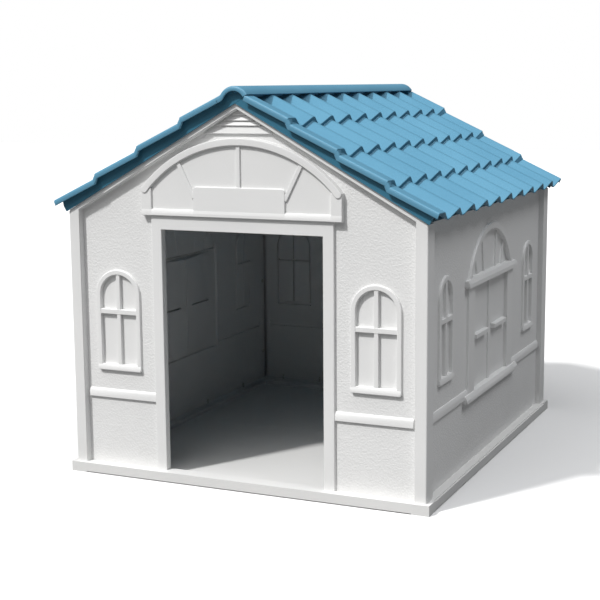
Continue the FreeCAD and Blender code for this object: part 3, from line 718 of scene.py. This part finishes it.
def paint_riser_shade(mesh, side):
    """Gives the tile courses' risers, which face away down the slope and from the light, the webs' darker blue:
    painted shade.
    """
    for face in mesh.faces:
        face.normal_update()
        if abs(face.normal.x) > 0.75 and face.normal.x * side * face.normal.z < 0:
            face.material_index = 1


def roof_panel(name, side, materials):
    """A roof panel: side is 1 for the right one and -1 for the left one, which carries the ridge roll."""
    mesh = bmesh.new()
    add_tiles(mesh, side)
    paint_riser_shade(mesh, side)
    add_web(mesh, side, FRONT - 1 - SKIN, FRONT - 1, upper=-1.5, lap=25.0)
    add_web(mesh, side, REAR + 1, REAR + 1 + SKIN, upper=-9.5, lap=14.0)
    add_roof_fittings(mesh, side)
    if side < 0:
        add_ridge_roll(mesh)
        foot = [(s, n) for s, n in ((13, -WAVE_DEPTH - 2), (16, -WAVE_DEPTH - 2), (16, 0.2), (13, 0.2))]
        add_prism(mesh, foot, lambda a, b, run: slope_point(side, a, b, run), FIRST_CREST, ROOF_LENGTH - 20)
    return finished(name + "_moulding", mesh, "roof", materials, [name], sharp=60)


# ---- finishes ------------------------------------------------------------------------------------
def shader_group(name, inputs, outputs):
    """An empty effect with named inputs (name, kind, value) and outputs (name, kind)."""
    group = bpy.data.node_groups.new(name, "ShaderNodeTree")
    for label, kind, value in inputs:
        socket = group.interface.new_socket(label, in_out="INPUT", socket_type="NodeSocket" + kind)
        socket.default_value = value
    for label, kind in outputs:
        group.interface.new_socket(label, in_out="OUTPUT", socket_type="NodeSocket" + kind)
    return group, group.nodes.new("NodeGroupInput"), group.nodes.new("NodeGroupOutput")


def node(tree, kind, links=(), **values):
    """A node with its properties set and its inputs linked or given values."""
    made = tree.nodes.new("ShaderNode" + kind)
    for key, value in values.items():
        setattr(made, key, value)
    for socket, source in dict(links).items():
        if isinstance(source, bpy.types.NodeSocket):
            tree.links.new(source, made.inputs[socket])
        else:
            made.inputs[socket].default_value = source
    return made


def moulded_grain():
    """The mould's orange-peel texture: soft pebbles about three millimetres across, with finer grain on them."""
    group, given, result = shader_group(
        "moulded grain", [("Pebble size mm", "Float", 3.0), ("Fine grain", "Float", 0.3)], [("Height", "Float")])
    place = node(group, "TexCoord")
    scale = node(group, "Math", {0: 1000.0, 1: given.outputs["Pebble size mm"]}, operation="DIVIDE")
    pebbles = node(group, "TexNoise", {"Vector": place.outputs["Object"], "Scale": scale.outputs[0],
                                       "Detail": 1.5, "Roughness": 0.45})
    round_tops = node(group, "ValToRGB", {"Fac": pebbles.outputs["Fac"]})
    round_tops.color_ramp.interpolation = "EASE"
    round_tops.color_ramp.elements[0].position = 0.36
    round_tops.color_ramp.elements[1].position = 0.66
    fine_scale = node(group, "Math", {0: scale.outputs[0], 1: 4.5}, operation="MULTIPLY")
    fine = node(group, "TexNoise", {"Vector": place.outputs["Object"], "Scale": fine_scale.outputs[0], "Detail": 2.0})
    total = node(group, "Math", {0: fine.outputs["Fac"], 1: given.outputs["Fine grain"],
                                 2: round_tops.outputs["Color"]}, operation="MULTIPLY_ADD")
    group.links.new(total.outputs[0], result.inputs["Height"])
    return group


def ground_splash():
    """Dust and dried splashes low on the kennel: strongest at the ground, broken up in patches."""
    group, given, result = shader_group(
        "ground splash", [("Reach m", "Float", 0.12), ("Strength", "Float", 0.5)], [("Mask", "Float")])
    place = node(group, "TexCoord")
    split = node(group, "SeparateXYZ", {0: place.outputs["Object"]})
    patches = node(group, "TexNoise", {"Vector": place.outputs["Object"], "Scale": 22.0, "Detail": 6.0,
                                       "Roughness": 0.65})
    lift = node(group, "Math", {0: patches.outputs["Fac"], 1: given.outputs["Reach m"]}, operation="MULTIPLY")
    fade = node(group, "MapRange", {"Value": split.outputs["Z"], "From Min": 0.0, "From Max": lift.outputs[0],
                                    "To Min": 1.0, "To Max": 0.0}, interpolation_type="SMOOTHSTEP")
    total = node(group, "Math", {0: fade.outputs["Result"], 1: given.outputs["Strength"]}, operation="MULTIPLY")
    group.links.new(total.outputs[0], result.inputs["Mask"])
    return group


def sun_fade():
    """Slow cloudy variation that moulded plastic takes outdoors, as a mask about one half."""
    group, given, result = shader_group(
        "sun fade", [("Patch size m", "Float", 0.25), ("Contrast", "Float", 1.0)], [("Mask", "Float")])
    place = node(group, "TexCoord")
    scale = node(group, "Math", {0: 1.0, 1: given.outputs["Patch size m"]}, operation="DIVIDE")
    clouds = node(group, "TexNoise", {"Vector": place.outputs["Object"], "Scale": scale.outputs[0], "Detail": 4.0,
                                      "Roughness": 0.55})
    centred = node(group, "Math", {0: clouds.outputs["Fac"], 1: 0.5}, operation="SUBTRACT")
    total = node(group, "Math", {0: centred.outputs[0], 1: given.outputs["Contrast"], 2: 0.5},
                 operation="MULTIPLY_ADD")
    total.use_clamp = True
    group.links.new(total.outputs[0], result.inputs["Mask"])
    return group


def scuffs():
    """Fine scratches and rubbed spots, as a mask."""
    group, given, result = shader_group("scuffs", [("Amount", "Float", 0.5)], [("Mask", "Float")])
    place = node(group, "TexCoord")
    stretched = node(group, "Mapping", {"Vector": place.outputs["Object"], "Scale": (90.0, 90.0, 14.0),
                                        "Rotation": (0.5, 0.3, 0.2)})
    lines = node(group, "TexNoise", {"Vector": stretched.outputs[0], "Scale": 1.0, "Detail": 5.0, "Roughness": 0.7})
    thin = node(group, "MapRange", {"Value": lines.outputs["Fac"], "From Min": 0.62, "From Max": 0.72})
    spots = node(group, "TexNoise", {"Vector": place.outputs["Object"], "Scale": 9.0, "Detail": 3.0})
    where = node(group, "MapRange", {"Value": spots.outputs["Fac"], "From Min": 0.45, "From Max": 0.65})
    both = node(group, "Math", {0: thin.outputs["Result"], 1: where.outputs["Result"]}, operation="MULTIPLY")
    total = node(group, "Math", {0: both.outputs[0], 1: given.outputs["Amount"]}, operation="MULTIPLY")
    group.links.new(total.outputs[0], result.inputs["Mask"])
    return group


GRAIN, SPLASH, FADE, SCUFFS = moulded_grain(), ground_splash(), sun_fade(), scuffs()


def effect(tree, group, **values):
    """One of the shared effects, placed in a material with its own values."""
    placed = tree.nodes.new("ShaderNodeGroup")
    placed.node_tree = group
    for label, value in values.items():
        placed.inputs[label.replace("_", " ")].default_value = value
    return placed.outputs[0]


def blended(tree, mask, first, second):
    """Two colours, mixed by a mask."""
    mix = node(tree, "Mix", data_type="RGBA")
    for socket, source in ((0, mask), (6, first), (7, second)):
        if isinstance(source, bpy.types.NodeSocket):
            tree.links.new(source, mix.inputs[socket])
        else:
            mix.inputs[socket].default_value = source
    return mix.outputs[2]


DUST_COLOUR = (0.50, 0.48, 0.44)


def moulded_plastic(name, colour, faded, rough, pebble, bump, splash=0.10, fine=0.3, wear=0.3):
    """Injection-moulded polypropylene: its colour, cloudy fading, splashes, scuffs and the mould's grain."""
    material = bpy.data.materials.new(name)
    material.use_nodes = True
    tree = material.node_tree
    shader = tree.nodes["Principled BSDF"]
    shader.inputs["IOR"].default_value = 1.49
    shader.inputs["Specular IOR Level"].default_value = 0.42
    clouds = effect(tree, FADE, Patch_size_m=0.22, Contrast=2.2)
    body = blended(tree, clouds, (*colour, 1), (*faded, 1))
    dust = effect(tree, SPLASH, Reach_m=0.22, Strength=splash)
    dusty = blended(tree, dust, body, (*DUST_COLOUR, 1))
    rubbed = effect(tree, SCUFFS, Amount=wear)
    worn = blended(tree, rubbed, dusty, tuple(min(1.0, c * 1.25 + 0.02) for c in colour) + (1,))
    tree.links.new(worn, shader.inputs["Base Color"])
    gloss = node(tree, "Math", {0: rubbed, 1: 0.2, 2: rough}, operation="MULTIPLY_ADD")
    dull = node(tree, "Math", {0: dust, 1: 0.25, 2: gloss.outputs[0]}, operation="MULTIPLY_ADD")
    tree.links.new(dull.outputs[0], shader.inputs["Roughness"])
    height = effect(tree, GRAIN, Pebble_size_mm=pebble, Fine_grain=fine)
    relief = node(tree, "Bump", {"Height": height, "Strength": bump, "Distance": 0.0004})
    tree.links.new(relief.outputs["Normal"], shader.inputs["Normal"])
    return material


def plated_steel():
    """Zinc-plated screws: dull silver with blotches and fine turning marks."""
    material = bpy.data.materials.new("zinc_plated_steel")
    material.use_nodes = True
    tree = material.node_tree
    shader = tree.nodes["Principled BSDF"]
    shader.inputs["Metallic"].default_value = 1.0
    blotches = effect(tree, FADE, Patch_size_m=0.004, Contrast=2.5)
    colour = blended(tree, blotches, (0.50, 0.50, 0.48, 1), (0.68, 0.67, 0.62, 1))
    tree.links.new(colour, shader.inputs["Base Color"])
    rough = node(tree, "Math", {0: blotches, 1: 0.25, 2: 0.22}, operation="MULTIPLY_ADD")
    tree.links.new(rough.outputs[0], shader.inputs["Roughness"])
    relief = node(tree, "Bump", {"Height": effect(tree, GRAIN, Pebble_size_mm=0.8, Fine_grain=0.6),
                                 "Strength": 0.3, "Distance": 0.0001})
    tree.links.new(relief.outputs["Normal"], shader.inputs["Normal"])
    return material


WALL_COLOUR, WALL_FADED = (0.735, 0.738, 0.735), (0.77, 0.77, 0.765)
ROOF_COLOUR, ROOF_FADED = (0.090, 0.255, 0.378), (0.115, 0.302, 0.435)
# darker blue for the roof's webs and risers: painted shade, for the shadow under the lips and on faces turned from
# the light
PAINTED_SHADE_COLOUR, PAINTED_SHADE_FADED = (0.030, 0.150, 0.235), (0.038, 0.170, 0.260)
NYLON_COLOUR, NYLON_FADED = (0.10, 0.30, 0.42), (0.12, 0.33, 0.46)
wall_field = moulded_plastic("wall_field_grained", WALL_COLOUR, WALL_FADED, 0.50, 3.4, 0.55)
wall_trim = moulded_plastic("wall_trim_smooth", WALL_COLOUR, WALL_FADED, 0.40, 1.6, 0.10)
base_finish = moulded_plastic("base_tray_satin", WALL_COLOUR, WALL_FADED, 0.42, 1.8, 0.14, splash=0.14, wear=0.4)
roof_finish = moulded_plastic("roof_blue_satin", ROOF_COLOUR, ROOF_FADED, 0.40, 2.2, 0.16, splash=0.0, wear=0.35)
# painted shade: the darker blue that the webs and the risers are given in place of their shadow
roof_painted_shade = moulded_plastic("roof_blue_painted_shade", PAINTED_SHADE_COLOUR, PAINTED_SHADE_FADED, 0.5, 2.2, 0.2, splash=0.0)
nylon = moulded_plastic("nylon_fixings", NYLON_COLOUR, NYLON_FADED, 0.36, 0.8, 0.12, splash=0.0)
steel = plated_steel()


# ---- the kennel ----------------------------------------------------------------------------------
def softened(node_name, material, width, segments=3):
    """A piece kept from the frame, with its edges rounded."""
    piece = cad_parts[node_name]
    piece.data.materials.clear()
    piece.data.materials.append(material)
    weld = piece.modifiers.new("weld", "WELD")
    weld.merge_threshold = 0.00002
    flat = piece.modifiers.new("flat_faces", "DECIMATE")
    flat.decimate_type = "DISSOLVE"
    flat.angle_limit = math.radians(1)
    rounding = piece.modifiers.new("edge_rounding", "BEVEL")
    rounding.width = width * MM
    rounding.segments = segments
    rounding.limit_method = "ANGLE"
    rounding.angle_limit = math.radians(40)
    even = piece.modifiers.new("even_shading", "WEIGHTED_NORMAL")
    even.weight = 100
    return piece


wall_finishes = [wall_field, wall_trim]
gable_wall("front_wall", FRONT, 1, True, wall_finishes)
gable_wall("rear_wall", REAR, -1, False, wall_finishes)
side_wall("right_wall", 1, wall_finishes)
side_wall("left_wall", -1, wall_finishes)
roof_panel("left_roof_panel", -1, [roof_finish, roof_painted_shade])
roof_panel("right_roof_panel", 1, [roof_finish, roof_painted_shade])
for half in ("base_front_half", "base_rear_half"):
    softened(half, base_finish, 1.4)
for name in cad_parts:
    if name.endswith("thumbscrews") or name.startswith("ridge_"):
        softened(name, nylon, 0.5, 2)
    elif name.endswith("screws"):
        softened(name, steel, 0.3, 2)


# ---- floor, light and camera ---------------------------------------------------------------------
def studio_floor():
    mesh = bmesh.new()
    reach = 12.0
    mesh.faces.new([mesh.verts.new((x, y, 0)) for x, y in ((-reach, -reach), (reach, -reach), (reach, reach),
                                                           (-reach, reach))])
    data = bpy.data.meshes.new("studio_floor")
    mesh.to_mesh(data)
    mesh.free()
    material = bpy.data.materials.new("pale_floor")
    material.use_nodes = True
    tree = material.node_tree
    shader = tree.nodes["Principled BSDF"]
    shader.inputs["Roughness"].default_value = 0.8
    seen = blended(tree, effect(tree, FADE, Patch_size_m=0.8, Contrast=0.6), (0.85, 0.85, 0.85, 1),
                   (0.88, 0.88, 0.88, 1))
    rays = node(tree, "LightPath")
    shade = blended(tree, rays.outputs["Is Camera Ray"], (0.17, 0.17, 0.17, 1), seen)
    tree.links.new(shade, shader.inputs["Base Color"])
    data.materials.append(material)
    floor = bpy.data.objects.new("studio_floor", data)
    bpy.context.scene.collection.objects.link(floor)


def soft_sun(name, energy, spread, colour, aim):
    """A far light that shines along aim, spread over this many degrees."""
    light = bpy.data.lights.new(name, "SUN")
    light.energy, light.color = energy, colour
    light.angle = math.radians(spread)
    lamp = bpy.data.objects.new(name, light)
    lamp.rotation_euler = Vector(aim).to_track_quat("-Z", "Y").to_euler()
    bpy.context.scene.collection.objects.link(lamp)


def studio_light():
    soft_sun("key_light", 2.9, 4, (1.0, 0.99, 0.98), (0.60, 1.0, -1.46))
    soft_sun("front_fill", 1.5, 60, (1.0, 1.0, 1.0), (0.3, 0.8, -1.3))
    soft_sun("top_fill", 1.3, 24, (0.97, 0.98, 1.0), (-0.55, 0.0, -1.0))
    world = bpy.data.worlds.new("soft_surroundings")
    world.use_nodes = True
    tree = world.node_tree
    tree.nodes.clear()
    sky = node(tree, "Background", {"Color": (0.93, 0.965, 1.0, 1), "Strength": 0.10})
    backdrop = node(tree, "Background", {"Color": (1, 1, 1, 1), "Strength": 1.0})
    rays = node(tree, "LightPath")
    both = node(tree, "MixShader", {0: rays.outputs["Is Camera Ray"], 1: sky.outputs[0], 2: backdrop.outputs[0]})
    out = node(tree, "OutputWorld", {"Surface": both.outputs[0]})
    out.is_active_output = True
    bpy.context.scene.world = world


def camera():
    """Three metres off, a little above the eaves, to the right of the doorway."""
    data = bpy.data.cameras.new("camera")
    data.lens, data.sensor_width = 79.6, 36.0
    place = bpy.data.objects.new("camera", data)
    place.location = (1.1027, -2.5924, 0.7633)
    turn, dip, roll = 24.337, 9.294, -0.469
    aim = Euler((math.radians(90 - dip), 0, math.radians(turn))).to_matrix()
    place.rotation_euler = (aim @ Euler((0, 0, math.radians(roll))).to_matrix()).to_euler()
    bpy.context.scene.collection.objects.link(place)
    bpy.context.scene.camera = place


studio_floor()
studio_light()
camera()
bpy.context.scene.view_settings.view_transform = "Standard"
